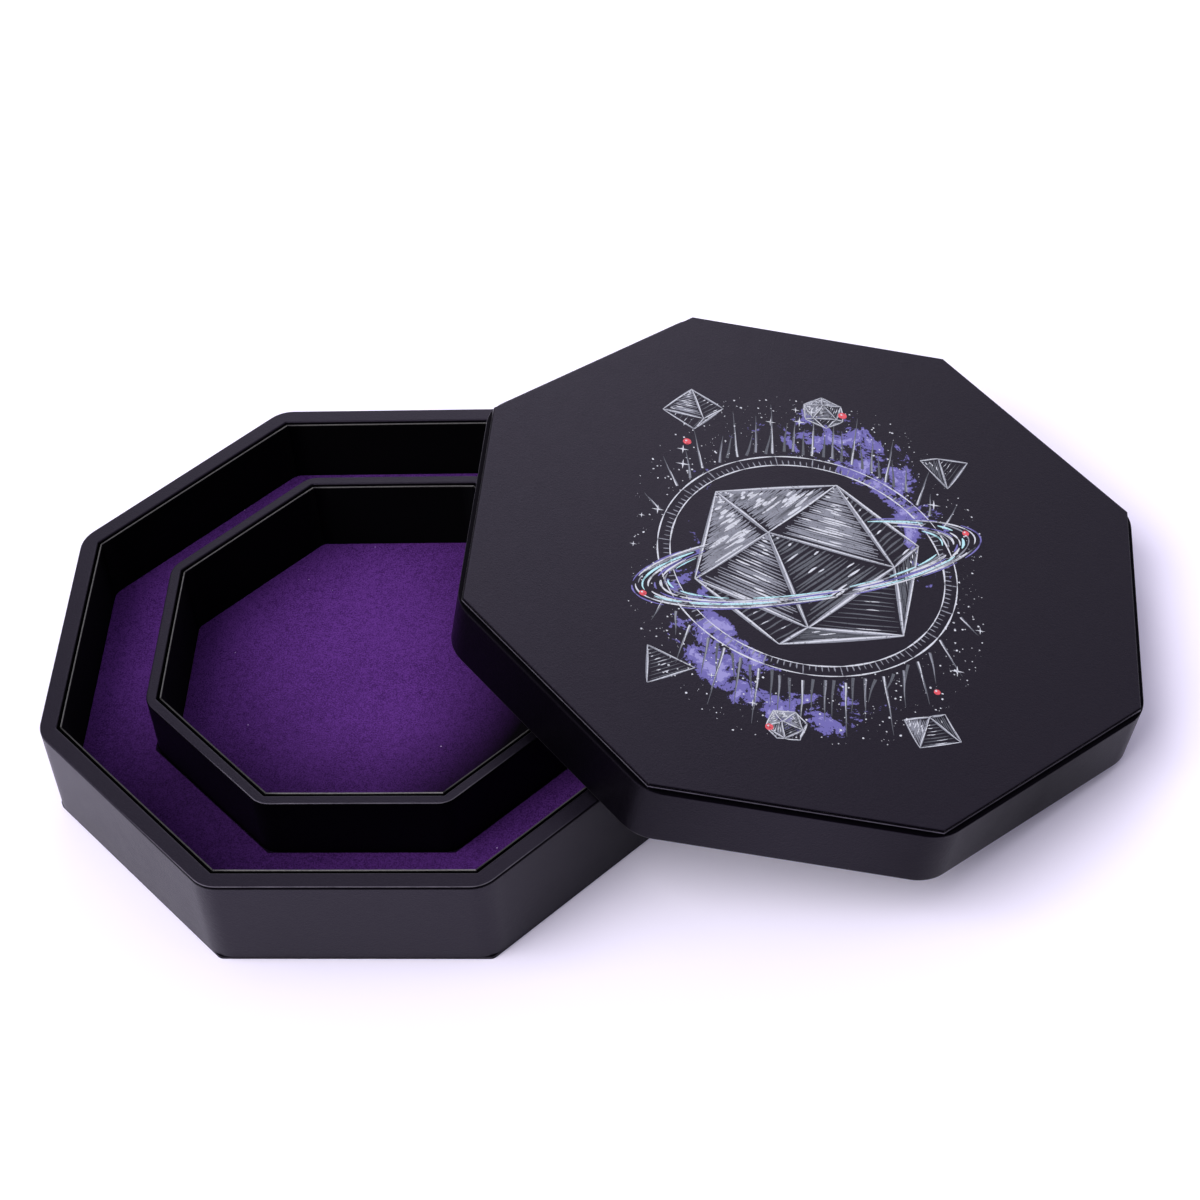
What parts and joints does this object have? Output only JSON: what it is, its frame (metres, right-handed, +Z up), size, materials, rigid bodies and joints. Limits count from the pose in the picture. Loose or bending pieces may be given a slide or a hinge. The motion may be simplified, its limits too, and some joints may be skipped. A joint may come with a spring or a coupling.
{
  "type": "dice tray with lid",
  "caption": "Octagonal leatherette dice tray with a velvet rolling well, a velvet trench around it and a lift-off skirted lid that leans on its rim.",
  "frame": {"origin": "centre of the tray's underside, on the surface it stands on", "axes": "+Z up, front side of the tray faces -Y, the lid leans on the +X side"},
  "size_m": [0.481, 0.3264, 0.0942],
  "materials": {
    "leatherette": "satin black leatherette with a fine grain",
    "printed_leatherette": null,
    "fibreboard": "raw fibreboard, hidden inside the covers",
    "greyboard": "raw greyboard, hidden inside the covers",
    "liner_board": "matt black paper over card",
    "velvet": "purple velvet with a short nap",
    "lining_cloth": "black flock"
  },
  "bodies": {
    "tray": {"base_board": "greyboard", "base_cover": "leatherette", "floor_core": "fibreboard", "tray_wall_board_1": "fibreboard", "tray_wall_board_2": "fibreboard", "tray_wall_board_3": "fibreboard", "tray_wall_board_4": "fibreboard", "tray_wall_board_5": "fibreboard", "tray_wall_board_6": "fibreboard", "tray_wall_board_7": "fibreboard", "tray_wall_board_8": "fibreboard", "tray_wall_cover": "leatherette", "tray_liner_panel_1": "liner_board", "tray_liner_panel_2": "liner_board", "tray_liner_panel_3": "liner_board", "tray_liner_panel_4": "liner_board", "tray_liner_panel_5": "liner_board", "tray_liner_panel_6": "liner_board", "tray_liner_panel_7": "liner_board", "tray_liner_panel_8": "liner_board", "trench_floor_board": "fibreboard", "trench_velvet": "velvet", "ring_wall_board_1": "fibreboard", "ring_wall_board_2": "fibreboard", "ring_wall_board_3": "fibreboard", "ring_wall_board_4": "fibreboard", "ring_wall_board_5": "fibreboard", "ring_wall_board_6": "fibreboard", "ring_wall_board_7": "fibreboard", "ring_wall_board_8": "fibreboard", "ring_wall_cover": "leatherette", "ring_liner_panel_1": "liner_board", "ring_liner_panel_2": "liner_board", "ring_liner_panel_3": "liner_board", "ring_liner_panel_4": "liner_board", "ring_liner_panel_5": "liner_board", "ring_liner_panel_6": "liner_board", "ring_liner_panel_7": "liner_board", "ring_liner_panel_8": "liner_board", "well_floor_card": "greyboard", "well_velvet": "velvet"},
    "lid": {"lid_wall_board_1": "fibreboard", "lid_wall_board_2": "fibreboard", "lid_wall_board_3": "fibreboard", "lid_wall_board_4": "fibreboard", "lid_wall_board_5": "fibreboard", "lid_wall_board_6": "fibreboard", "lid_wall_board_7": "fibreboard", "lid_wall_board_8": "fibreboard", "lid_wall_cover": "leatherette", "lid_top_board": "greyboard", "lid_top_cover": "printed_leatherette", "lid_lining_card": "greyboard", "lid_lining_cloth": "lining_cloth"}
  },
  "joints": [
    {"name": "lid_lift", "type": "slide", "parent": "tray", "child": "lid", "axis": [0, 0, 1], "range_m": [0, 0.08]}
  ]
}
